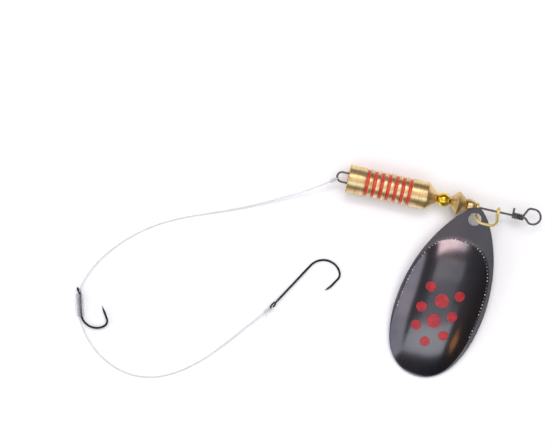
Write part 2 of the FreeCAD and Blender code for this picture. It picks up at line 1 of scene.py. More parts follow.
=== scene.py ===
"""An inline spinner: a grooved brass body, beads and a black spotted blade on a wire shaft,
with a clear leader and two bare hooks behind it, all lying on a pale table.

Everything is in metres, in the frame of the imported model.  Sizes are written in millimetres
and scaled by MM.  The shaft's own frame has X along the shaft from the body's rear face.
"""
import math

import bpy
from mathutils import Matrix, Vector


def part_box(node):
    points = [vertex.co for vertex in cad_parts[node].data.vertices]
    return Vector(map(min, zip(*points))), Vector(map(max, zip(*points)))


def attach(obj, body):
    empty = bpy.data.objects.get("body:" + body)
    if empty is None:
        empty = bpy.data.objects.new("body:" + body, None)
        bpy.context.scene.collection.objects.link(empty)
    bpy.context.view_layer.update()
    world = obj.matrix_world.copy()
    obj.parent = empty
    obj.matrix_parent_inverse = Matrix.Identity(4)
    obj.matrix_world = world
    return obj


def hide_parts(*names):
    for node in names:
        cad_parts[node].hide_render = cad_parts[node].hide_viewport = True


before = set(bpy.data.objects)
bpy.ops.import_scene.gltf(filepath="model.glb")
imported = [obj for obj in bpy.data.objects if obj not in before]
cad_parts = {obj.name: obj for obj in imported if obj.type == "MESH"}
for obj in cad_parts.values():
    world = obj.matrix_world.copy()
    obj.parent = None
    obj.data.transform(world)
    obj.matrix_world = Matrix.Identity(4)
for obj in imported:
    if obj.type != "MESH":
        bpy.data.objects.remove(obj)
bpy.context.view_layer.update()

MM = 0.001
X_AXIS, Z_AXIS = Vector((1, 0, 0)), Vector((0, 0, 1))
# How near points must be, in mm, to be merged into one.
WELD = 0.002

body_low, body_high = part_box("body_weight")
REAR_FACE = Vector(body_low).lerp(Vector(body_high), 0.5)
REAR_FACE.x = body_low[0]


def on_shaft(x, y=0.0, z=0.0):
    """A place given in the shaft's frame, in millimetres."""
    return REAR_FACE + Vector((x, y, z)) * MM


def above_table(x, y, height):
    """A place beside the shaft, its height counted from the table."""
    spot = on_shaft(x, y)
    return Vector((spot.x, spot.y, height * MM))


# ---------------------------------------------------------------- camera
VIEW_MIDDLE = Vector((-43.5, 6.14, 0.0)) * MM
VIEW_WIDTH = 158.3 * MM
VIEW_ROLL = math.radians(12.65)
LENS, FILM = 100.0, 36.0


def look_straight_down():
    """The camera over the table, turned so that the body slopes down to the right."""
    lens = bpy.data.cameras.new("overhead")
    lens.lens = LENS
    lens.sensor_width = FILM
    camera = bpy.data.objects.new("overhead", lens)
    camera.location = VIEW_MIDDLE + Z_AXIS * (VIEW_WIDTH * LENS / FILM)
    camera.rotation_euler = (0, 0, VIEW_ROLL)
    bpy.context.scene.collection.objects.link(camera)
    bpy.context.scene.camera = camera
    bpy.context.scene.view_settings.view_transform = "Standard"


look_straight_down()


# ---------------------------------------------------------------- finishes
def paint(code):
    """A linear colour from an sRGB hex code."""
    parts = [int(code[n:n + 2], 16) / 255 for n in (0, 2, 4)]
    return tuple(p / 12.92 if p <= 0.04045 else ((p + 0.055) / 1.055) ** 2.4 for p in parts) + (1,)


def put(tree, kind, inputs=None, stops=(), **settings):
    """Add a node: its settings, its colour stops, then its inputs.

    An input is a value, the socket that feeds it, or a node whose first output feeds it.
    """
    added = tree.nodes.new(kind)
    for key, value in settings.items():
        setattr(added, key, value)
    for n, (place, code) in enumerate(stops):
        ramp = added.color_ramp.elements
        stop = ramp[n] if n < len(ramp) else ramp.new(place)
        stop.position = place
        stop.color = paint(code)
    for key, value in (inputs or {}).items():
        if isinstance(value, bpy.types.Node):
            value = value.outputs[0]
        if isinstance(value, bpy.types.NodeSocket):
            tree.links.new(value, added.inputs[key])
        else:
            added.inputs[key].default_value = value
    return added


def blank(name):
    """A material with nothing in it yet, and the place that its patterns read."""
    material = bpy.data.materials.new(name)
    material.use_nodes = True
    tree = material.node_tree
    tree.nodes.clear()
    return material, tree, put(tree, "ShaderNodeTexCoord").outputs["Object"]


def turned_brass(name, dark, mid, light, gloss):
    """Free-cutting brass as it left the lathe, with no lacquer.

    The tool leaves fine rings round the axis, really about 0.1 mm apart and drawn here at
    0.3 mm so that they show; they break the soft highlight into fine lines.  Handling has
    toned it unevenly over a few millimetres.
    """
    material, tree, place = blank(name)
    along = put(tree, "ShaderNodeMapping", {"Vector": place, "Scale": (1 / (0.3 * MM), 30, 30)})
    rings = put(tree, "ShaderNodeTexNoise", {
        "Vector": along, "Scale": 1.0, "Detail": 3.0, "Roughness": 0.65})
    tone = put(tree, "ShaderNodeTexNoise", {
        "Vector": place, "Scale": 1 / (3.5 * MM), "Detail": 4.0, "Roughness": 0.6})
    both = put(tree, "ShaderNodeMix", {"Factor": 0.38, "A": rings, "B": tone}, data_type="FLOAT")
    colour = put(tree, "ShaderNodeValToRGB", {"Fac": both},
                 stops=[(0.34, dark), (0.5, mid), (0.66, light)])
    rough = put(tree, "ShaderNodeMapRange", {
        "Value": both, "To Min": gloss - 0.06, "To Max": gloss + 0.1})
    relief = put(tree, "ShaderNodeBump", {
        "Height": rings, "Distance": 0.02 * MM, "Strength": 0.6})
    put(tree, "ShaderNodeOutputMaterial", {"Surface": put(tree, "ShaderNodeBsdfPrincipled", {
        "Base Color": colour, "Metallic": 1.0, "Roughness": rough, "Normal": relief})})
    return material


def polished_gold_bead():
    """Brass ball plated with bright gold and tumbled: a deep yellow mirror with soft scuffs."""
    material, tree, place = blank("gold_plated_bead")
    scuffs = put(tree, "ShaderNodeTexNoise", {
        "Vector": place, "Scale": 1 / (0.7 * MM), "Detail": 3.0})
    colour = put(tree, "ShaderNodeValToRGB", {"Fac": scuffs},
                 stops=[(0.3, "EDBE2C"), (0.7, "FFE25C")])
    rough = put(tree, "ShaderNodeMapRange", {"Value": scuffs, "To Min": 0.2, "To Max": 0.34})
    relief = put(tree, "ShaderNodeBump", {
        "Height": scuffs, "Distance": 0.01 * MM, "Strength": 0.5})
    put(tree, "ShaderNodeOutputMaterial", {"Surface": put(tree, "ShaderNodeBsdfPrincipled", {
        "Base Color": colour, "Metallic": 1.0, "Roughness": rough, "Normal": relief})})
    return material


def pale_gold_wire():
    """Brass wire drawn and flashed with pale gold: light yellow, with faint drawing lines."""
    material, tree, place = blank("pale_gold_wire")
    lines = put(tree, "ShaderNodeTexNoise", {
        "Vector": place, "Scale": 1 / (0.5 * MM), "Detail": 3.0})
    colour = put(tree, "ShaderNodeValToRGB", {"Fac": lines},
                 stops=[(0.3, "FFE48A"), (0.7, "FFF2B4")])
    rough = put(tree, "ShaderNodeMapRange", {"Value": lines, "To Min": 0.42, "To Max": 0.56})
    relief = put(tree, "ShaderNodeBump", {
        "Height": lines, "Distance": 0.002 * MM, "Strength": 0.3})
    put(tree, "ShaderNodeOutputMaterial", {"Surface": put(tree, "ShaderNodeBsdfPrincipled", {
        "Base Color": colour, "Metallic": 1.0, "Roughness": rough, "Normal": relief})})
    return material


def oiled_steel_wire(name, dark, light, gloss):
    """Spring or hook steel, hardened dark and oiled: charcoal with thin grey highlights.

    Scale from hardening mottles it over about a millimetre.
    """
    material, tree, place = blank(name)
    mottle = put(tree, "ShaderNodeTexNoise", {
        "Vector": place, "Scale": 1 / (1.1 * MM), "Detail": 5.0, "Roughness": 0.65})
    colour = put(tree, "ShaderNodeValToRGB", {"Fac": mottle}, stops=[(0.3, dark), (0.7, light)])
    rough = put(tree, "ShaderNodeMapRange", {
        "Value": mottle, "To Min": gloss, "To Max": gloss + 0.16})
    relief = put(tree, "ShaderNodeBump", {
        "Height": mottle, "Distance": 0.008 * MM, "Strength": 0.6})
    put(tree, "ShaderNodeOutputMaterial", {"Surface": put(tree, "ShaderNodeBsdfPrincipled", {
        "Base Color": colour, "Metallic": 1.0, "Roughness": rough, "Normal": relief})})
    return material


def stoved_red_enamel(name, dark, mid, light):
    """Red enamel, brushed or stamped on and stoved: glossy, thicker here and thinner there."""
    material, tree, place = blank(name)
    flow = put(tree, "ShaderNodeTexNoise", {
        "Vector": place, "Scale": 1 / (1.6 * MM), "Detail": 4.0, "Roughness": 0.6})
    colour = put(tree, "ShaderNodeValToRGB", {"Fac": flow},
                 stops=[(0.3, dark), (0.5, mid), (0.72, light)])
    rough = put(tree, "ShaderNodeMapRange", {"Value": flow, "To Min": 0.24, "To Max": 0.4})
    relief = put(tree, "ShaderNodeBump", {
        "Height": flow, "Distance": 0.02 * MM, "Strength": 0.5})
    put(tree, "ShaderNodeOutputMaterial", {"Surface": put(tree, "ShaderNodeBsdfPrincipled", {
        "Base Color": colour, "Roughness": rough, "Normal": relief, "IOR": 1.5,
        "Coat Weight": 0.1, "Coat Roughness": 0.12})})
    return material


def black_nickel_plate():
    """Brass sheet pressed, polished and plated with black nickel.

    A dark mirror whose tint drifts from charcoal to blue-grey and mauve over about a
    centimetre, with a faint haze of fine wipe marks.
    """
    material, tree, place = blank("black_nickel_plate")
    drift = put(tree, "ShaderNodeTexNoise", {
        "Vector": place, "Scale": 1 / (14 * MM), "Detail": 2.0, "Roughness": 0.5})
    haze = put(tree, "ShaderNodeTexNoise", {
        "Vector": place, "Scale": 1 / (0.8 * MM), "Detail": 5.0, "Roughness": 0.7})
    colour = put(tree, "ShaderNodeValToRGB", {"Fac": drift},
                 stops=[(0.32, "54565C"), (0.5, "646266"), (0.68, "6E6668")])
    rough = put(tree, "ShaderNodeMapRange", {"Value": haze, "To Min": 0.12, "To Max": 0.24})
    relief = put(tree, "ShaderNodeBump", {
        "Height": haze, "Distance": 0.003 * MM, "Strength": 0.3})
    put(tree, "ShaderNodeOutputMaterial", {"Surface": put(tree, "ShaderNodeBsdfPrincipled", {
        "Base Color": colour, "Metallic": 1.0, "Roughness": rough, "Normal": relief})})
    return material


def sparkle_painted_nickel():
    """Tips of the stamped points in pale, near-white metal: painted highlight, so that they show as
    small sparkles, bright on some points and dull on others at random.
    """
    material, tree, place = blank("sparkle_painted_nickel")
    sparkle_mix = put(tree, "ShaderNodeTexNoise", {"Vector": place, "Scale": 1 / (1.5 * MM), "Detail": 2.0})
    # The near-white colour stands in for the glint of light on the points: painted highlight.
    colour = put(tree, "ShaderNodeValToRGB", {"Fac": sparkle_mix},
                 stops=[(0.42, "7C7E84"), (0.58, "FFFFFF")])
    rough = put(tree, "ShaderNodeMapRange", {"Value": sparkle_mix, "To Min": 0.2, "To Max": 0.35})
    put(tree, "ShaderNodeOutputMaterial", {"Surface": put(tree, "ShaderNodeBsdfPrincipled", {
        "Base Color": colour, "Metallic": 1.0, "Roughness": rough})})
    return material


def clear_nylon():
    """Extruded nylon monofilament: clear, faintly milky, with a waxy shine."""
    material, tree, place = blank("clear_nylon_line")
    milk = put(tree, "ShaderNodeTexNoise", {
        "Vector": place, "Scale": 1 / (1.2 * MM), "Detail": 2.0})
    colour = put(tree, "ShaderNodeValToRGB", {"Fac": milk},
                 stops=[(0.3, "F0F3F5"), (0.7, "FAFBFC")])
    rough = put(tree, "ShaderNodeMapRange", {"Value": milk, "To Min": 0.12, "To Max": 0.28})
    relief = put(tree, "ShaderNodeBump", {
        "Height": milk, "Distance": 0.004 * MM, "Strength": 0.4})
    put(tree, "ShaderNodeOutputMaterial", {"Surface": put(tree, "ShaderNodeBsdfPrincipled", {
        "Base Color": colour, "Roughness": rough, "Normal": relief, "IOR": 1.53,
        "Transmission Weight": 0.4})})
    return material


def silicone_sleeve():
    """Soft silicone tubing, dipped and cut: pale grey, see-through, with a dull shine."""
    material, tree, place = blank("silicone_sleeve")
    cloud = put(tree, "ShaderNodeTexNoise", {
        "Vector": place, "Scale": 1 / (1.5 * MM), "Detail": 3.0})
    colour = put(tree, "ShaderNodeValToRGB", {"Fac": cloud},
                 stops=[(0.3, "DDE1E4"), (0.7, "F0F2F4")])
    rough = put(tree, "ShaderNodeMapRange", {"Value": cloud, "To Min": 0.12, "To Max": 0.2})
    relief = put(tree, "ShaderNodeBump", {
        "Height": cloud, "Distance": 0.01 * MM, "Strength": 0.4})
    put(tree, "ShaderNodeOutputMaterial", {"Surface": put(tree, "ShaderNodeBsdfPrincipled", {
        "Base Color": colour, "Roughness": rough, "Normal": relief, "IOR": 1.41,
        "Transmission Weight": 0.92})})
    return material


def white_laminate():
    """Matt laminate: plain, nearly white, with a tone that hardly changes over a centimetre."""
    material, tree, place = blank("matt_white_laminate")
    grain = put(tree, "ShaderNodeTexNoise", {"Vector": place, "Scale": 60.0, "Detail": 2.0})
    colour = put(tree, "ShaderNodeValToRGB", {"Fac": grain},
                 stops=[(0.3, "F4F4F4"), (0.7, "F7F7F7")])
    put(tree, "ShaderNodeOutputMaterial", {"Surface": put(tree, "ShaderNodeBsdfPrincipled", {
        "Base Color": colour, "Roughness": 0.9, "Specular IOR Level": 0.1})})
    return material


body_brass = turned_brass("turned_brass", "C49B62", "EACB92", "FBE3B4", 0.34)
bead_brass = turned_brass("dull_bead_brass", "A98A52", "D6B87C", "F0DAA4", 0.38)
bead_gold = polished_gold_bead()
clevis_gold = pale_gold_wire()
shaft_steel = oiled_steel_wire("oiled_spring_steel", "565654", "8A8984", 0.28)
hook_steel = oiled_steel_wire("blued_hook_steel", "222427", "45484D", 0.3)
groove_red = stoved_red_enamel("groove_enamel", "A82418", "CC3526", "DE503C")
spot_red = stoved_red_enamel("spot_enamel", "86101A", "A31722", "B8232B")
blade_nickel = black_nickel_plate()
# Pale metal on the pricks is painted highlight, standing in for their sparkle.
painted_sparkle_finish = sparkle_painted_nickel()
leader_nylon = clear_nylon()
sleeve_silicone = silicone_sleeve()


# ---------------------------------------------------------------- workshop
def clear_selection():
    """Leave edit mode and let go of everything."""
    if bpy.context.object and bpy.context.object.mode != "OBJECT":
        bpy.ops.object.mode_set(mode="OBJECT")
    bpy.ops.object.select_all(action="DESELECT")


def pick(*pieces):
    """Hold only these pieces, the first one in hand."""
    clear_selection()
    for piece in pieces:
        piece.select_set(True)
    bpy.context.view_layer.objects.active = pieces[0]


def ring_of_points(spot, axis, radius, sides, fill):
    """A round section standing square to an axis, left open for shaping in edit mode."""
    clear_selection()
    bpy.ops.mesh.primitive_circle_add(
        vertices=sides, radius=radius, fill_type=fill, location=spot,
        rotation=Vector(axis).to_track_quat("Z", "X").to_euler())
    piece = bpy.context.object
    bpy.ops.object.transform_apply(location=True, rotation=True, scale=True)
    bpy.ops.object.mode_set(mode="EDIT")
    bpy.ops.mesh.select_all(action="SELECT")
    return piece


def draw_out(step):
    """Extrude what is held by one straight step."""
    bpy.ops.mesh.extrude_region_move(TRANSFORM_OT_translate={"value": tuple(step)})


def swell(factor, middle):
    """Scale what is held about a point."""
    if abs(factor - 1) > 1e-6:
        bpy.ops.transform.resize(value=(factor,) * 3, center_override=tuple(middle))


def close_up(piece):
    """Merge doubled points and turn every face outwards."""
    bpy.ops.mesh.select_all(action="SELECT")
    bpy.ops.mesh.remove_doubles(threshold=WELD * MM)
    bpy.ops.mesh.normals_make_consistent(inside=False)
    bpy.ops.object.mode_set(mode="OBJECT")
    return piece


def soften(piece, width, angle=35, segments=2):
    """Break the sharp edges by a small round."""
    pick(piece)
    edge = piece.modifiers.new("edge", "BEVEL")
    edge.width = width * MM
    edge.segments = segments
    edge.limit_method = "ANGLE"
    edge.angle_limit = math.radians(angle)
    bpy.ops.object.modifier_apply(modifier="edge")


def place_by(piece, matrix):
    """Carry a piece from its own frame to its place, in its mesh."""
    piece.data.transform(matrix)
    return piece


def as_one(name, pieces):
    """Join pieces into the first one."""
    pick(*pieces)
    if len(pieces) > 1:
        bpy.ops.object.join()
    pieces[0].name = name
    return pieces[0]


def copy_of(piece, matrix):
    """A copy with its own mesh, moved by a matrix."""
    twin = piece.copy()
    twin.data = piece.data.copy()
    bpy.context.scene.collection.objects.link(twin)
    return place_by(twin, matrix)


def fit_out(piece, name, finish, body, node, smooth=35):
    """Name a finished piece, give it its finish and say what it stands for."""
    pick(piece)
    piece.name = name
    piece.data.name = name
    piece.data.materials.clear()
    piece.data.materials.append(finish)
    bpy.ops.object.shade_smooth_by_angle(angle=math.radians(smooth))
    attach(piece, body)
    if node:
        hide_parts(node)
    return piece


def arc(middle_x, middle_r, radius, start, end, steps):
    """Points of a profile along an arc, angles in degrees."""
    angles = [math.radians(start + (end - start) * n / steps) for n in range(steps + 1)]
    return [(middle_x + radius * math.cos(a), middle_r + radius * math.sin(a)) for a in angles]


def turned(profile, slices=128, axis_spot=None):
    """Turn a closed profile, pairs of (along, radius) in mm, round the X axis of the shaft."""
    base = on_shaft(0) if axis_spot is None else axis_spot
    (first, radius), last = profile[0], profile[0]
    piece = ring_of_points(base + X_AXIS * first * MM, X_AXIS, radius * MM, slices, "NOTHING")
    for along, out in profile[1:] + [profile[0]]:
        draw_out(X_AXIS * (along - last[0]) * MM)
        swell(out / last[1], base + X_AXIS * along * MM)
        last = (along, out)
    return close_up(piece)


BEND_STEP = math.radians(9)
# Without a window, the spin tool turns the other way round its axis.
SPIN_SENSE = -1


def bent_rod(corners, bends, thickness, sides=20):
    """Rod drawn along straight runs and spun round each bend, capped at both ends.

    thickness is one radius or one for each corner, bends one radius for each inner corner.
    """
    if not isinstance(thickness, (list, tuple)):
        thickness = [thickness] * len(corners)
    ahead = (corners[1] - corners[0]).normalized()
    piece = ring_of_points(corners[0], ahead, thickness[0], sides, "NGON")
    spot, now = corners[0].copy(), thickness[0]
    for n in range(1, len(corners)):
        back = (corners[n - 1] - corners[n]).normalized()
        last = n == len(corners) - 1
        if not last:
            ahead = (corners[n + 1] - corners[n]).normalized()
            turn = math.pi - back.angle(ahead)
        straight = last or turn < 1e-4
        entry = corners[n] if straight else corners[n] + back * bends[n - 1] * math.tan(turn / 2)
        if (entry - spot).length > 1e-6 * MM:
            draw_out(entry - spot)
            swell(thickness[n] / now, entry)
            now = thickness[n]
        spot = entry
        if straight:
            continue
        middle = corners[n] + (back + ahead).normalized() * (bends[n - 1] / math.cos(turn / 2))
        bpy.ops.mesh.spin(steps=max(2, round(turn / BEND_STEP)), angle=SPIN_SENSE * turn,
                          center=tuple(middle), axis=tuple((-back).cross(ahead).normalized()))
        spot = corners[n] + ahead * bends[n - 1] * math.tan(turn / 2)
    return close_up(piece)


# ---------------------------------------------------------------- leader
LINE = 0.35
LEADER_START = (-31.0972, 21.3277, 3.6207)
LEADER_END = (-41.0910, -19.2317, 1.0393)
# The same route as the model's: across the shaft's frame, then height above the table.
LEADER_ROUTE = [
    (-9.5, -5.4, 2.6), (-16.5, -9.2, 1.4), (-24.5, -13.4, 0.7), (-33.5, -17.3, 0.35),
    (-42.5, -20.7, 0.3), (-50.6, -24.8, 0.25), (-57.8, -30.4, 0.3), (-63.4, -36.9, 0.6),
    (-66.5, -42.8, 0.95), (-68.1, -48.5, 1.02), (-66.3, -55.8, 0.6), (-62.6, -61.3, 0.3),
    (-57.2, -65.8, 0.25), (-50.5, -68.4, 0.25), (-43.4, -68.4, 0.3), (-36.6, -65.7, 0.25),
    (-30.4, -61.1, 0.3), (-25.0, -55.3, 0.45), (-20.2, -49.3, 0.8),
]
leader_start = Vector(LEADER_START) * MM
leader_end = Vector(LEADER_END) * MM


def leader_line():
    """The clear line from the body's loop past the front hook to the tail hook."""
    route = [leader_start] + [above_table(*place) for place in LEADER_ROUTE] + [leader_end]
    line = bpy.data.curves.new("leader_line", "CURVE")
    line.dimensions = "3D"
    run = line.splines.new("NURBS")
    run.points.add(len(route) - 1)
    for point, spot in zip(run.points, route):
        point.co = (*spot, 1)
    run.order_u = 3
    run.use_endpoint_u = True
    run.resolution_u = 12
    line.bevel_depth = LINE / 2 * MM
    line.bevel_resolution = 3
    line.use_fill_caps = True
    line.materials.append(leader_nylon)
    piece = bpy.data.objects.new("leader", line)
    bpy.context.scene.collection.objects.link(piece)
    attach(piece, "leader")
    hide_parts("leader_line")
    return piece


leader = leader_line()


# ---------------------------------------------------------------- shaft wire
WIRE = 0.6
BODY_LENGTH, NOSE_LENGTH, BODY_RADIUS = 22.9, 2.9, 4.0
BEAD_RADIUS, CUP_LENGTH, EAR_THICK, CLEVIS_WIDTH = 2.0, 2.5, 0.8, 6.0
NEIGHBOUR_GAP = 0.1
BEAD_MIDDLE = BODY_LENGTH + NOSE_LENGTH + BEAD_RADIUS
BICONE_REAR = BEAD_MIDDLE + BEAD_RADIUS + NEIGHBOUR_GAP
CUP_REAR = BICONE_REAR + 4.7 + NEIGHBOUR_GAP
REAR_EAR = CUP_REAR + CUP_LENGTH + NEIGHBOUR_GAP + EAR_THICK / 2
FRONT_EAR = REAR_EAR + CLEVIS_WIDTH
WRAP_TURNS, WRAP_PITCH, WRAP_RADIUS, WRAP_FRONT = 5, 0.64, 0.62, 51.0
LOOP_HALF, EYE_RADIUS, EYE_RISE = 1.4, 2.15, 0.8
EYE_MIDDLE = WRAP_FRONT + EYE_RADIUS + WIRE
# The tucked end and the rear loop, along the shaft.
TUCK_END, TUCK_BEND, LOOP_REAR, LEG_BEND, SHAFT_START = 2.8, 0.8, -3.1, 1.0, 4.0
TUCK_SHARE, SOFT_BEND, EASY_BEND, EYE_EXIT_BEND = 0.55, 1.2, 1.5, 1.3
WRAP_TAG = 1.5


def shaft_wire():
    """One wire: tucked end, rear loop, straight shaft, line-tie eye, wrap and cut end."""
    low, high = EYE_RISE - EYE_RADIUS, EYE_RISE + EYE_RADIUS
    spots = [(TUCK_END, -LOOP_HALF * TUCK_SHARE, 0), (TUCK_BEND, -LOOP_HALF, 0),
             (LOOP_REAR, -LOOP_HALF, 0), (LOOP_REAR, LOOP_HALF, 0), (LEG_BEND, LOOP_HALF, 0),
             (SHAFT_START, 0, 0), (WRAP_FRONT + WIRE, 0, 0),
             (EYE_MIDDLE - 0.8, low, 0), (EYE_MIDDLE + EYE_RADIUS, low, 0),
             (EYE_MIDDLE + EYE_RADIUS, high, 0), (EYE_MIDDLE - EYE_RADIUS * 0.75, high, 0)]
    bends = [EASY_BEND, LOOP_HALF, LOOP_HALF, EASY_BEND, SOFT_BEND, SOFT_BEND, SOFT_BEND,
             EYE_RADIUS, EYE_RADIUS, EYE_EXIT_BEND]
    out = WRAP_RADIUS * math.sqrt(2)
    for n in range(4 * WRAP_TURNS - 1):
        angle = math.radians(45 + 90 * n)
        along = WRAP_FRONT - WRAP_PITCH / 4 * n
        spots.append((along, out * math.cos(angle), out * math.sin(angle)))
        bends.append(WRAP_RADIUS * (0.8 if n == 0 else 0.97))
    spots.append((spots[-1][0], WRAP_RADIUS + WRAP_TAG, -WRAP_RADIUS))
    piece = bent_rod([on_shaft(*spot) for spot in spots], [b * MM for b in bends], WIRE / 2 * MM)
    soften(piece, 0.07, angle=60)
    fit_out(piece, "shaft", shaft_steel, "wire", "shaft_wire")


shaft_wire()


# ---------------------------------------------------------------- turned pieces
BORE = WIRE / 2 + 0.08
FIRST_GROOVE, GROOVE_STEP, GROOVES, GROOVE_WIDTH, GROOVE_DEPTH = 5.5, 2.04, 7, 0.95, 0.48
POCKET_RADIUS, POCKET_DEPTH, NOSE_RADIUS = 1.85, 4.6, 1.4
PAINT_GAP, PAINT_SKIN, PAINT_RISE, PAINT_EDGE_RISE = 0.01, 0.12, 0.14, 0.05
BICONE_BACK, BICONE_FRONT, LAND_HALF, LAND_DROP = 2.0, 2.7, 0.06, 0.04
BICONE_REAR_RADIUS, BICONE_RADIUS, BICONE_FRONT_RADIUS = 1.25, 3.43, 1.35
CUP_RADIUS, CUP_NOSE, CUP_FACE = 1.9, 1.2, 0.7


def brass_body():
    """The body: rear pocket, seven square grooves, front cone, every edge just broken."""
    front = BODY_LENGTH + NOSE_LENGTH
    outline = [(0, POCKET_RADIUS), (0, BODY_RADIUS)]
    for n in range(GROOVES):
        start = FIRST_GROOVE + n * GROOVE_STEP - GROOVE_WIDTH / 2
        floor = BODY_RADIUS - GROOVE_DEPTH
        outline += [(start, BODY_RADIUS), (start, floor), (start + GROOVE_WIDTH, floor),
                    (start + GROOVE_WIDTH, BODY_RADIUS)]
    outline += [(BODY_LENGTH, BODY_RADIUS), (front, NOSE_RADIUS), (front, BORE),
                (POCKET_DEPTH, BORE), (POCKET_DEPTH, POCKET_RADIUS)]
    piece = turned(outline, slices=144)
    soften(piece, 0.09, angle=25, segments=3)
    fit_out(piece, "body", body_brass, "body", "body_weight", smooth=30)


def groove_paint():
    """Enamel lying in the grooves: thin in the middle and drawn up the walls at its edges."""
    floor = BODY_RADIUS - GROOVE_DEPTH
    half, top = GROOVE_WIDTH / 2 - PAINT_GAP, floor + PAINT_SKIN
    side = [(0.4, top), (0.8, top + PAINT_EDGE_RISE), (1.0, top + PAINT_RISE), (1.0, floor)]
    outline = ([(-half * share, height) for share, height in reversed(side)]
               + [(half * share, height) for share, height in side])
    ring = turned(outline, slices=144, axis_spot=on_shaft(FIRST_GROOVE))
    rings = [ring] + [copy_of(ring, Matrix.Translation(X_AXIS * GROOVE_STEP * n * MM))
                      for n in range(1, GROOVES)]
    piece = as_one("groove_paint", rings)
    fit_out(piece, "groove_paint", groove_red, "body", "groove_enamel", smooth=60)


def gold_bead():
    """The round bead between body and double cone."""
    open_at = math.degrees(math.asin(BORE / BEAD_RADIUS))
    ball = arc(BEAD_MIDDLE, 0, BEAD_RADIUS, 180 - open_at, open_at, 40)
    piece = turned(ball, slices=96)
    soften(piece, 0.05, angle=40)
    fit_out(piece, "gold_ball_bead", bead_gold, "bead_stack", "round_bead", smooth=40)


def double_cone():
    """Two cones turned back to back, with a narrow land at the widest edge."""
    wide, land = BICONE_REAR + BICONE_BACK, BICONE_RADIUS - LAND_DROP
    outline = [(BICONE_REAR, BORE), (BICONE_REAR, BICONE_REAR_RADIUS), (wide - LAND_HALF, land),
               (wide, BICONE_RADIUS), (wide + LAND_HALF, land),
               (wide + BICONE_FRONT, BICONE_FRONT_RADIUS), (wide + BICONE_FRONT, BORE)]
    piece = turned(outline, slices=128)
    soften(piece, 0.06, angle=25, segments=2)
    fit_out(piece, "double_cone_bead", bead_brass, "bicone", "bicone_bead",
            smooth=25)


def cup_bead():
    """The bearing bead under the clevis, its front rounded."""
    front = CUP_REAR + CUP_LENGTH
    rim = [(0, CUP_RADIUS - 0.15), (0.05, CUP_RADIUS - 0.04), (0.15, CUP_RADIUS)]
    outline = ([(CUP_REAR, BORE)] + [(CUP_REAR + along, out) for along, out in rim]
               + arc(front - CUP_NOSE, CUP_FACE, CUP_NOSE, 90, 0, 14) + [(front, BORE)])
    piece = turned(outline, slices=112)
    soften(piece, 0.05, angle=40)
    fit_out(piece, "bearing_bead", body_brass, "bearing", "cup_bead", smooth=35)


brass_body()
groove_paint()
gold_bead()
double_cone()
cup_bead()


# ---------------------------------------------------------------- clevis
CLEVIS_TILT, CLEVIS_REACH, CLEVIS_CORNER, CLEVIS_WIRE = math.radians(-35), 5.32, 2.2, 0.87
EAR_RADIUS, EAR_ROOT, EAR_END = 1.35, 1.0, 1.7


def clevis():
    """A wire stirrup, its bow hanging through the blade, its ends flattened and bored."""
    lean = Matrix.Rotation(CLEVIS_TILT, 3, "X")

    def out(x, reach):
        return on_shaft(x) + lean @ Vector((0, -reach, 0)) * MM

    round_wire, flat = CLEVIS_WIRE / 2, EAR_THICK / 2
    reaches = [EAR_ROOT, EAR_END, CLEVIS_REACH]
    spots = ([out(REAR_EAR, r) for r in reaches] + [out(FRONT_EAR, r) for r in reversed(reaches)])
    radii = [flat, flat, round_wire, round_wire, flat, flat]
    bow = bent_rod(spots, [0, CLEVIS_CORNER * MM, CLEVIS_CORNER * MM, 0], [r * MM for r in radii])
    ears = []
    for middle in (REAR_EAR, FRONT_EAR):
        back, front = middle - EAR_THICK / 2, middle + EAR_THICK / 2
        ear = turned([(back, BORE), (back, EAR_RADIUS), (front, EAR_RADIUS), (front, BORE)],
                     slices=64)
        soften(ear, 0.16, angle=40, segments=4)
        ears.append(ear)
    piece = as_one("clevis", [bow] + ears)
    fit_out(piece, "stirrup_clevis", clevis_gold, "stirrup", "clevis", smooth=45)


clevis()


# ---------------------------------------------------------------- blade
BLADE_LENGTH, BLADE_HALF, BLADE_THICK = 51.4, 12.6, 0.6
HOLE_RADIUS, HOLE_INSET, HOLE_SIDES, PUNCH_DEPTH = 1.85, 3.46, 72, 4
DOME_HEIGHT, DOME_EASE, DOME_POWER, DOME_FALL = 3.4, 0.07, 2.5, 1.04
# Paint and pricks are sunk a little into the sheet, so that no gap shows.
SINK = 0.03
DOME_MIDDLE, DOME_SIDE, DOME_HALF_LENGTH, DOME_HALF_WIDTH = 30.6, -0.25, 20.3, 11.3
BLADE_TURN, BLADE_PITCH = math.radians(-98.3), math.radians(6.8165)
BLADE_NEAR = (REAR_EAR - 0.2 - HOLE_INSET * math.cos(BLADE_TURN), -0.1, 2.1008)
# Half the outline from the near end: share of the length, share of the half width.
OUTLINE = [(0.0, 0.0), (0.022, 0.165), (0.10, 0.437), (0.255, 0.756), (0.42, 0.94),
           (0.585, 1.0), (0.76, 0.925), (0.90, 0.70), (0.978, 0.36), (1.0, 0.0)]
OUTLINE_POINTS, CURVE_STEPS = 256, 24
# Least width of flat rim left outside the dome.
LEAST_RIM = 0.45

blade_seat = (Matrix.Translation(on_shaft(*BLADE_NEAR)) @ Matrix.Rotation(BLADE_TURN, 4, "Z")
              @ Matrix.Rotation(BLADE_PITCH, 4, "Y"))


def dome_rise(along, across):
    """Height of the dome: flat crown, steep shoulders, flat rim and tongue."""
    u = abs(along - DOME_MIDDLE) / DOME_HALF_LENGTH
    v = abs(across - DOME_SIDE) / DOME_HALF_WIDTH
    inside = 1 - (u ** DOME_POWER + v ** DOME_POWER) ** DOME_FALL
    return DOME_HEIGHT * (inside + math.hypot(inside, DOME_EASE)) / 2


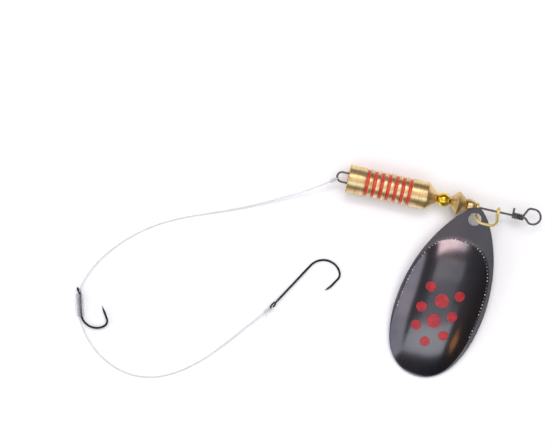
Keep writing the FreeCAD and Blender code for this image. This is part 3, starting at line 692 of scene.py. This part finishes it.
def smooth_between(a, b, c, d, t):
    """A point on the smooth curve from b to c that also heeds a and d."""
    knots = [0.0]
    for p, q in ((a, b), (b, c), (c, d)):
        knots.append(knots[-1] + (q - p).length ** 0.5)
    u = knots[1] + (knots[2] - knots[1]) * t
    ab = a.lerp(b, (u - knots[0]) / (knots[1] - knots[0]))
    bc = b.lerp(c, (u - knots[1]) / (knots[2] - knots[1]))
    cd = c.lerp(d, (u - knots[2]) / (knots[3] - knots[2]))
    abc = ab.lerp(bc, (u - knots[0]) / (knots[2] - knots[0]))
    bcd = bc.lerp(cd, (u - knots[1]) / (knots[3] - knots[1]))
    return abc.lerp(bcd, (u - knots[1]) / (knots[2] - knots[1]))


def even_points(closed, count):
    """Points at equal steps round a closed line."""
    reach = [0.0]
    for p, q in zip(closed, closed[1:] + closed[:1]):
        reach.append(reach[-1] + (q - p).length)
    spots, n = [], 0
    for k in range(count):
        goal = reach[-1] * k / count
        while reach[n + 1] < goal:
            n += 1
        share = (goal - reach[n]) / (reach[n + 1] - reach[n])
        spots.append(closed[n].lerp(closed[(n + 1) % len(closed)], share))
    return spots


def blade_outline():
    """The long drop, as evenly spaced points in the blade's own frame, in mm."""
    left = [Vector((BLADE_LENGTH * u, BLADE_HALF * v)) for u, v in OUTLINE]
    corners = left + [Vector((p.x, -p.y)) for p in reversed(left[1:-1])]
    count, fine = len(corners), []
    for n in range(count):
        a, b, c, d = (corners[(n + k) % count] for k in (-1, 0, 1, 2))
        fine += [smooth_between(a, b, c, d, t / CURVE_STEPS) for t in range(CURVE_STEPS)]
    return even_points(fine, OUTLINE_POINTS)


def dome_foot(point):
    """Where the line from the dome's middle to an outline point crosses the dome's foot."""
    u = abs(point.x - DOME_MIDDLE) / DOME_HALF_LENGTH
    v = abs(point.y - DOME_SIDE) / DOME_HALF_WIDTH
    scale = (u ** DOME_POWER + v ** DOME_POWER) ** (-1 / DOME_POWER)
    reach = point - Vector((DOME_MIDDLE, DOME_SIDE))
    scale = min(scale, 1 - LEAST_RIM / reach.length)
    return Vector((DOME_MIDDLE, DOME_SIDE)) + reach * scale


# Rings of the pressed sheet: first from the rim in to the dome's foot, then up the dome.
RIM_SHARES = [1.0, 0.93, 0.8, 0.64, 0.48, 0.34, 0.22, 0.12, 0.05]
DOME_SHARES = [1.0, 0.985, 0.97, 0.95, 0.925, 0.9, 0.865, 0.83, 0.79, 0.75, 0.7, 0.65, 0.6,
               0.54, 0.48, 0.42, 0.36, 0.3, 0.24, 0.18, 0.12, 0.06]


def blade():
    """Sheet pressed into a dome, pierced at its near end, with a pricked line round the foot."""
    rings = len(RIM_SHARES) + len(DOME_SHARES)
    piece = ring_of_points((0, 0, 0), Z_AXIS, 1.0, OUTLINE_POINTS, "NOTHING")
    for n in range(1, rings):
        bpy.ops.mesh.extrude_region_move(TRANSFORM_OT_translate={"value": (0, 0, 0)})
        swell((1 - n / rings) / (1 - (n - 1) / rings), (0, 0, 0))
    bpy.ops.mesh.edge_face_add()
    bpy.ops.mesh.poke()
    bpy.ops.object.mode_set(mode="OBJECT")
    outline = blade_outline()
    feet = [dome_foot(point) for point in outline]
    middle = Vector((DOME_MIDDLE, DOME_SIDE))
    for vertex in piece.data.vertices:
        reach = vertex.co.xy.length
        ring = round((1 - reach) * rings)
        k = round(math.atan2(vertex.co.y, vertex.co.x) / (2 * math.pi) * OUTLINE_POINTS)
        k %= OUTLINE_POINTS
        if ring < len(RIM_SHARES):
            spot = feet[k].lerp(outline[k], RIM_SHARES[ring])
        elif ring < rings:
            spot = middle.lerp(feet[k], DOME_SHARES[ring - len(RIM_SHARES)])
        else:
            spot = middle
        vertex.co = Vector((spot.x, spot.y, dome_rise(spot.x, spot.y))) * MM
    bpy.ops.object.mode_set(mode="EDIT")
    close_up(piece)
    if piece.data.polygons[0].normal.z < 0:
        piece.data.flip_normals()
    sheet = piece.modifiers.new("sheet", "SOLIDIFY")
    sheet.thickness = BLADE_THICK * MM
    sheet.offset = 1
    bpy.ops.object.modifier_apply(modifier="sheet")
    punch_hole(piece)
    soften(piece, 0.13, angle=50, segments=3)
    bpy.ops.object.mode_set(mode="EDIT")
    bpy.ops.mesh.select_all(action="SELECT")
    bpy.ops.mesh.remove_doubles(threshold=2 * WELD * MM)
    bpy.ops.mesh.dissolve_degenerate(threshold=WELD * MM)
    bpy.ops.object.mode_set(mode="OBJECT")
    place_by(piece, blade_seat)
    fit_out(piece, "blade_sheet", blade_nickel, "spinner_blade", "blade",
            smooth=40)
    pricks = as_one("pricks", pricked_line(feet))
    fit_out(pricks, "blade_pricks", painted_sparkle_finish, "spinner_blade", None)


def punch_hole(piece):
    """The clevis's hole through the blade's near end."""
    clear_selection()
    bpy.ops.mesh.primitive_cylinder_add(
        vertices=HOLE_SIDES, radius=HOLE_RADIUS * MM, depth=PUNCH_DEPTH * MM,
        location=(HOLE_INSET * MM, 0, 0))
    punch = bpy.context.object
    pick(piece)
    hole = piece.modifiers.new("hole", "BOOLEAN")
    hole.object = punch
    hole.operation = "DIFFERENCE"
    hole.solver = "EXACT"
    bpy.ops.object.modifier_apply(modifier="hole")
    bpy.data.objects.remove(punch)


PRICK_STEP, PRICK_RADIUS, PRICKS_END = 1.0, 0.25, 36.0


def pricked_line(feet):
    """Small raised points stamped round the dome's foot; they catch the light as sparkles."""
    clear_selection()
    bpy.ops.mesh.primitive_uv_sphere_add(segments=8, ring_count=5, radius=PRICK_RADIUS * MM)
    point = bpy.context.object
    length = sum((q - p).length for p, q in zip(feet, feet[1:] + feet[:1]))
    pricks = []
    for foot in even_points(feet, round(length / PRICK_STEP)):
        if foot.x > PRICKS_END:
            continue
        top = dome_rise(foot.x, foot.y) + BLADE_THICK - SINK
        seat = blade_seat @ Matrix.Translation(Vector((foot.x, foot.y, top)) * MM)
        pricks.append(copy_of(point, seat))
    bpy.data.objects.remove(point)
    return pricks


SMALL_SPOTS = [(-5.2, -4.6), (-5.4, 4.0), (1.1, -5.0), (0.8, 4.1), (6.6, -4.5), (6.7, 3.7),
               (10.1, -0.5)]
BIG_SPOTS = [(-2.5, -0.3), (3.7, -0.3)]
SMALL_SPOT_RADIUS, BIG_SPOT_RADIUS, SPOT_THICK = 1.45, 1.98, 0.09
# The paint's edge runs in and out in three broad waves and seven small ones.
BROAD_WAVES, BROAD_SHARE, SMALL_WAVES, SMALL_SHARE = 3, 0.018, 7, 0.012


SPOT_RINGS = (1.0, 0.88, 0.6, 0.3)


def painted_spot(along, across, radius):
    """One spot of enamel, bent over the dome, its edge a little uneven and rounded."""
    middle = Vector((DOME_MIDDLE + along, DOME_SIDE + across))
    piece = ring_of_points((0, 0, 0), Z_AXIS, radius * MM, 48, "NGON")
    for outer, inner in zip(SPOT_RINGS, SPOT_RINGS[1:]):
        bpy.ops.mesh.inset(thickness=0)
        swell(inner / outer, (0, 0, 0))
    bpy.ops.mesh.poke()
    bpy.ops.object.mode_set(mode="OBJECT")
    for vertex in piece.data.vertices:
        angle = math.atan2(vertex.co.y, vertex.co.x)
        waver = (1 + BROAD_SHARE * math.sin(BROAD_WAVES * angle + along)
                 + SMALL_SHARE * math.sin(SMALL_WAVES * angle + across))
        x, y = middle.x + vertex.co.x / MM * waver, middle.y + vertex.co.y / MM * waver
        vertex.co = Vector((x, y, dome_rise(x, y) + BLADE_THICK - SINK)) * MM
    bpy.ops.object.mode_set(mode="EDIT")
    close_up(piece)
    if piece.data.polygons[0].normal.z < 0:
        piece.data.flip_normals()
    skin = piece.modifiers.new("skin", "SOLIDIFY")
    skin.thickness = SPOT_THICK * MM
    skin.offset = 1
    bpy.ops.object.modifier_apply(modifier="skin")
    soften(piece, 0.035, angle=50, segments=2)
    return place_by(piece, blade_seat)


def painted_spots():
    """Seven small spots and two large ones."""
    spots = [painted_spot(x, y, SMALL_SPOT_RADIUS) for x, y in SMALL_SPOTS]
    spots += [painted_spot(x, y, BIG_SPOT_RADIUS) for x, y in BIG_SPOTS]
    whole = as_one("spots", spots)
    fit_out(whole, "blade_spots", spot_red, "spinner_blade", "blade_dots", smooth=50)


blade()
painted_spots()


# ---------------------------------------------------------------- hooks
HOOK_WIRE, HOOK_EYE_WIRE, HOOK_EYE_RADIUS = 0.6, 0.5, 0.9
POINT_LENGTH = 2.0
# The point's taper: share of its length, share of the wire's thickness.
POINT_TAPER = ((0.35, 0.8), (0.7, 0.48), (0.92, 0.2), (1.0, 0.06))
# The eye's wire: its cut end beside the shank, its two shoulders, and where it meets the shank.
EYE_CUT, EYE_NEAR_SHOULDER, EYE_FAR_SHOULDER, EYE_JOIN, SHANK_START = -0.58, -0.3, -0.42, 0.12, 1.6
BARB_PLACE, BARB_ROOT, BARB_BACK, BARB_RISE, BARB_BEND = 0.7, 0.5, 0.55, 0.4, 0.4
BARB_RADII = (0.05, 0.14, 0.03)
SLEEVE_RADIUS, SLEEVE_LENGTH = 0.95, 6.3
FRONT_HOOK = dict(start=(-67.4, -48.9), heading=-74.8, side=1, eye_turn=22, eye_roll=0,
                  bend=10.0, knee=5.4, lift=1.0, shank_radius=4.5, knee_radius=4.0,
                  leg_radius=1.7, gape=7.75, lean=17, point_turn=2, point=3.6, sleeved=True)
TAIL_HOOK = dict(start=(-12.4, -39.3), heading=59.3, side=-1, eye_turn=0, eye_roll=25,
                 bend=19.8, knee=6.1, lift=1.3, shank_radius=5.0, knee_radius=4.0,
                 leg_radius=1.9, gape=8.4, lean=1, point_turn=13, point=12.3, sleeved=False)


def hook_seat(plan):
    """Where a hook lies: on its eye's ring, and on its bend or the end of its sleeve."""
    high = HOOK_EYE_RADIUS * math.cos(math.radians(plan["eye_roll"])) + HOOK_EYE_WIRE / 2
    low, along = HOOK_WIRE / 2, plan["bend"]
    if plan["sleeved"]:
        low, along = SLEEVE_RADIUS, SLEEVE_LENGTH
    dip = math.asin((high - low) / (along + HOOK_EYE_RADIUS))
    rise = high - math.sin(dip) * HOOK_EYE_RADIUS
    flip = 0 if plan["side"] > 0 else math.pi
    return (Matrix.Translation(above_table(*plan["start"], rise))
            @ Matrix.Rotation(math.radians(plan["heading"]), 4, "Z")
            @ Matrix.Rotation(dip, 4, "Y") @ Matrix.Rotation(flip, 4, "X"))


def end_of_leg(plan):
    """Where a hook's leg ends and its point begins."""
    along = plan["point"] + POINT_LENGTH
    fall = (plan["bend"] - plan["lift"] - along) * math.tan(math.radians(plan["lean"]))
    return Vector((along, plan["gape"] - fall, 0))


def hook_wire(plan):
    """Eye closed against the shank, shank, round bend, and a leg tapered to a needle point."""
    turn = (Matrix.Rotation(math.radians(plan["eye_turn"]), 3, "Z")
            @ Matrix.Rotation(math.radians(-plan["eye_roll"]), 3, "X"))
    ring = HOOK_EYE_RADIUS
    eye = [(0.0, 0, EYE_CUT), (EYE_NEAR_SHOULDER, 0, -ring), (-2 * ring, 0, -ring),
           (-2 * ring, 0, ring), (EYE_FAR_SHOULDER, 0, ring)]
    spots = [turn @ Vector(spot) for spot in eye] + [Vector((EYE_JOIN, 0, 0))]
    bends = [0.3, ring, ring, 0.75, 0.6]
    thin, thick = HOOK_EYE_WIRE / 2, HOOK_WIRE / 2
    radii = [thin] * 6
    leg_end = end_of_leg(plan)
    spots += [Vector((SHANK_START, 0, 0)), Vector((plan["bend"], 0, 0)),
              Vector((plan["bend"], plan["knee"], 0)),
              Vector((plan["bend"] - plan["lift"], plan["gape"], 0)), leg_end]
    bends += [0, plan["shank_radius"], plan["knee_radius"], plan["leg_radius"], 0.5]
    radii += [thick] * 5
    point_way = math.radians(plan["lean"] + plan["point_turn"])
    ahead = Vector((-math.cos(point_way), -math.sin(point_way), 0))
    for share, size in POINT_TAPER:
        spots.append(leg_end + ahead * POINT_LENGTH * share)
        bends.append(0)
        radii.append(thick * size)
    bends = bends[:len(spots) - 2]
    return bent_rod([s * MM for s in spots], [b * MM for b in bends], [r * MM for r in radii])


def barb(plan, piece):
    """A small barb cut up from the leg behind the point."""
    lean = math.radians(plan["lean"])
    ahead = Vector((-math.cos(lean), -math.sin(lean), 0))
    base = end_of_leg(plan) + ahead * BARB_PLACE
    inward = Vector((-ahead.y, ahead.x, 0))
    tip = base - ahead * BARB_BACK + inward * BARB_RISE
    splinter = bent_rod([(base + ahead * BARB_ROOT) * MM, base * MM, tip * MM],
                        [BARB_BEND * MM], [radius * MM for radius in BARB_RADII], sides=10)
    return as_one("hook", [piece, splinter])


def hook(name, plan, body, node):
    """A finished hook where it lies."""
    piece = barb(plan, hook_wire(plan))
    place_by(piece, hook_seat(plan))
    fit_out(piece, name, hook_steel, body, node, smooth=50)
    return piece


front_hook = hook("front_hook_steel", FRONT_HOOK, "leader", "front_hook")
tail_hook = hook("tail_hook_steel", TAIL_HOOK, "tail", "tail_hook")


# The sleeve's outside from the eye to the bend, then its bore back again.
SLEEVE_OUTSIDE = [(0.0, 0.80), (0.1, 0.88), (0.35, 0.91), (1.4, 0.90), (3.0, 0.93), (5.2, 0.93),
                  (6.0, 0.94), (6.22, 0.93), (6.3, 0.86)]
SLEEVE_BORE = [(6.26, 0.70), (5.2, 0.69), (3.0, 0.68), (1.4, 0.65), (0.35, 0.66), (0.03, 0.60)]


def sleeve():
    """Soft tubing pulled over the front hook's shank and the line, its ends a little open."""
    between = Vector((0, -(LINE + HOOK_WIRE) / 4 * MM, 0))
    piece = turned(SLEEVE_OUTSIDE + SLEEVE_BORE, slices=64, axis_spot=between)
    place_by(piece, hook_seat(FRONT_HOOK))
    return fit_out(piece, "shank_sleeve", sleeve_silicone, "leader", "hook_sleeve",
                   smooth=60)


shank_sleeve = sleeve()


# ---------------------------------------------------------------- knots
KNOT_LENGTH, KNOT_RADIUS, KNOT_GAP, KNOT_TURNS = 1.7, 0.5, 0.09, 5
TURN_LEAN = math.radians(9)
# The clipped end of the line, from the knot's loop outwards.
TAG_WAY = ((1.2, 0, 0.1), (1.5, 0.5, 0.1), (2.1, 1.0, 0.0))


def knot(name, middle, axis, heading, wire_radius, node):
    """A clinch knot: a loop round the wire, five close turns and a clipped tag end."""
    loop_radius = wire_radius + KNOT_GAP + LINE / 2
    clear_selection()
    bpy.ops.mesh.primitive_torus_add(major_radius=loop_radius * MM, minor_radius=LINE / 2 * MM,
                                     major_segments=48, minor_segments=14)
    loop = bpy.context.object
    clear_selection()
    bpy.ops.mesh.primitive_torus_add(major_radius=(KNOT_RADIUS - LINE / 2) * MM,
                                     minor_radius=LINE / 2 * MM, major_segments=36,
                                     minor_segments=14)
    turn = bpy.context.object
    turns = []
    for n in range(KNOT_TURNS):
        along = loop_radius + KNOT_LENGTH / KNOT_TURNS * (n + 0.5)
        turns.append(copy_of(turn, Matrix.Translation(X_AXIS * along * MM)
                             @ Matrix.Rotation(TURN_LEAN, 4, "Z")
                             @ Matrix.Rotation(math.pi / 2, 4, "Y")))
    bpy.data.objects.remove(turn)
    core = bent_rod([X_AXIS * (loop_radius - 0.1) * MM,
                     X_AXIS * (loop_radius + KNOT_LENGTH + 0.1) * MM], [], LINE / 2 * MM, sides=14)
    tag = bent_rod([(X_AXIS * loop_radius + Vector(spot)) * MM for spot in TAG_WAY], [0.3 * MM],
                   LINE / 2 * MM, sides=14)
    piece = as_one("knot", [loop, core, tag] + turns)
    across = axis.cross(heading)
    seat = Matrix((heading, across, axis)).transposed().to_4x4()
    place_by(piece, Matrix.Translation(middle) @ seat)
    return fit_out(piece, name, leader_nylon, "leader", node, smooth=60)


loop_middle = on_shaft(-1.7)
TIE_ANGLE = math.radians(210)
tie_spot = loop_middle + Vector((math.cos(TIE_ANGLE), math.sin(TIE_ANGLE), 0)) * LOOP_HALF * MM
tie_heading = (above_table(*LEADER_ROUTE[0]) - tie_spot).normalized()
tie_across = Z_AXIS.cross(tie_heading).normalized()
leader_knot = knot("loop_knot", tie_spot, tie_across, tie_heading, WIRE / 2, "leader_knot")
tail_tip = hook_seat(TAIL_HOOK) @ Vector((-2 * HOOK_EYE_RADIUS * MM, 0, 0))
tail_heading = (above_table(*LEADER_ROUTE[-1]) - tail_tip).normalized()
rolled = Matrix.Rotation(math.radians(-TAIL_HOOK["eye_roll"]), 3, "X") @ Z_AXIS
tail_axis = hook_seat(TAIL_HOOK).to_3x3() @ rolled
tail_axis = -(tail_axis - tail_heading * tail_heading.dot(tail_axis)).normalized()
tail_knot = knot("hook_knot", tail_tip, tail_axis, tail_heading, HOOK_EYE_WIRE / 2, "tail_knot")


# ---------------------------------------------------------------- table and studio
def table():
    """A plain pale table, large enough for every view."""
    clear_selection()
    bpy.ops.mesh.primitive_plane_add(size=6.0, location=(0, 0, 0))
    top = bpy.context.object
    top.name = "table_top"
    top.data.materials.append(white_laminate())


def softbox(name, tilt, toward, size, brightness, tint, seen=True):
    """A soft light a metre off, so many degrees from overhead towards a side of the view.

    toward is in degrees from the right of the view, anticlockwise; brightness is its glow.
    """
    light = bpy.data.lights.new(name, "AREA")
    light.shape = "RECTANGLE"
    light.size, light.size_y = size
    light.energy = brightness * math.pi * size[0] * size[1]
    light.color = paint(tint)[:3]
    lamp = bpy.data.objects.new(name, light)
    side = VIEW_ROLL + math.radians(toward)
    out = Vector((math.cos(side), math.sin(side), 0))
    way = Z_AXIS * math.cos(math.radians(tilt)) + out * math.sin(math.radians(tilt))
    across = Z_AXIS.cross(out)
    up = way.cross(across)
    lamp.matrix_world = Matrix.Translation(way) @ Matrix((across, up, way)).transposed().to_4x4()
    lamp.visible_glossy = seen
    bpy.context.scene.collection.objects.link(lamp)


def studio():
    """A dim room, a strip at the back, softer boxes overhead, left and in front, a warm lamp
    low on the right, and a broad fill for the table that the metal doesn't show."""
    world = bpy.data.worlds.new("studio")
    bpy.context.scene.world = world
    world.use_nodes = True
    tree = world.node_tree
    tree.nodes.clear()
    place = put(tree, "ShaderNodeTexCoord").outputs["Generated"]
    height = put(tree, "ShaderNodeSeparateXYZ", {"Vector": place})
    glow = put(tree, "ShaderNodeValToRGB", {"Fac": height.outputs["Z"]}, stops=[
        (0.0, "505052"), (0.5, "5C5C60"), (0.85, "808084"), (1.0, "A0A0A4")])
    room = put(tree, "ShaderNodeBackground", {"Color": glow, "Strength": 1.0})
    put(tree, "ShaderNodeOutputWorld", {"Surface": room})
    softbox("back_strip", 29, 88, (0.64, 0.2), 5.5, "FFEFF2")
    softbox("overhead_box", 7, 80, (0.62, 0.3), 1.0, "F8EEF0")
    softbox("left_box", 56, 184, (1.25, 0.5), 1.8, "F0EAF4")
    softbox("middle_box", 11, -97, (0.5, 0.36), 0.45, "DCE6F0")
    softbox("front_box", 33, -101, (1.0, 0.42), 1.9, "E2EEF4")
    softbox("warm_lamp", 56, -48, (0.16, 0.2), 1.9, "F0A860")
    softbox("table_fill", 20, 60, (1.2, 1.2), 1.5, "FFFFFF", seen=False)


table()
studio()
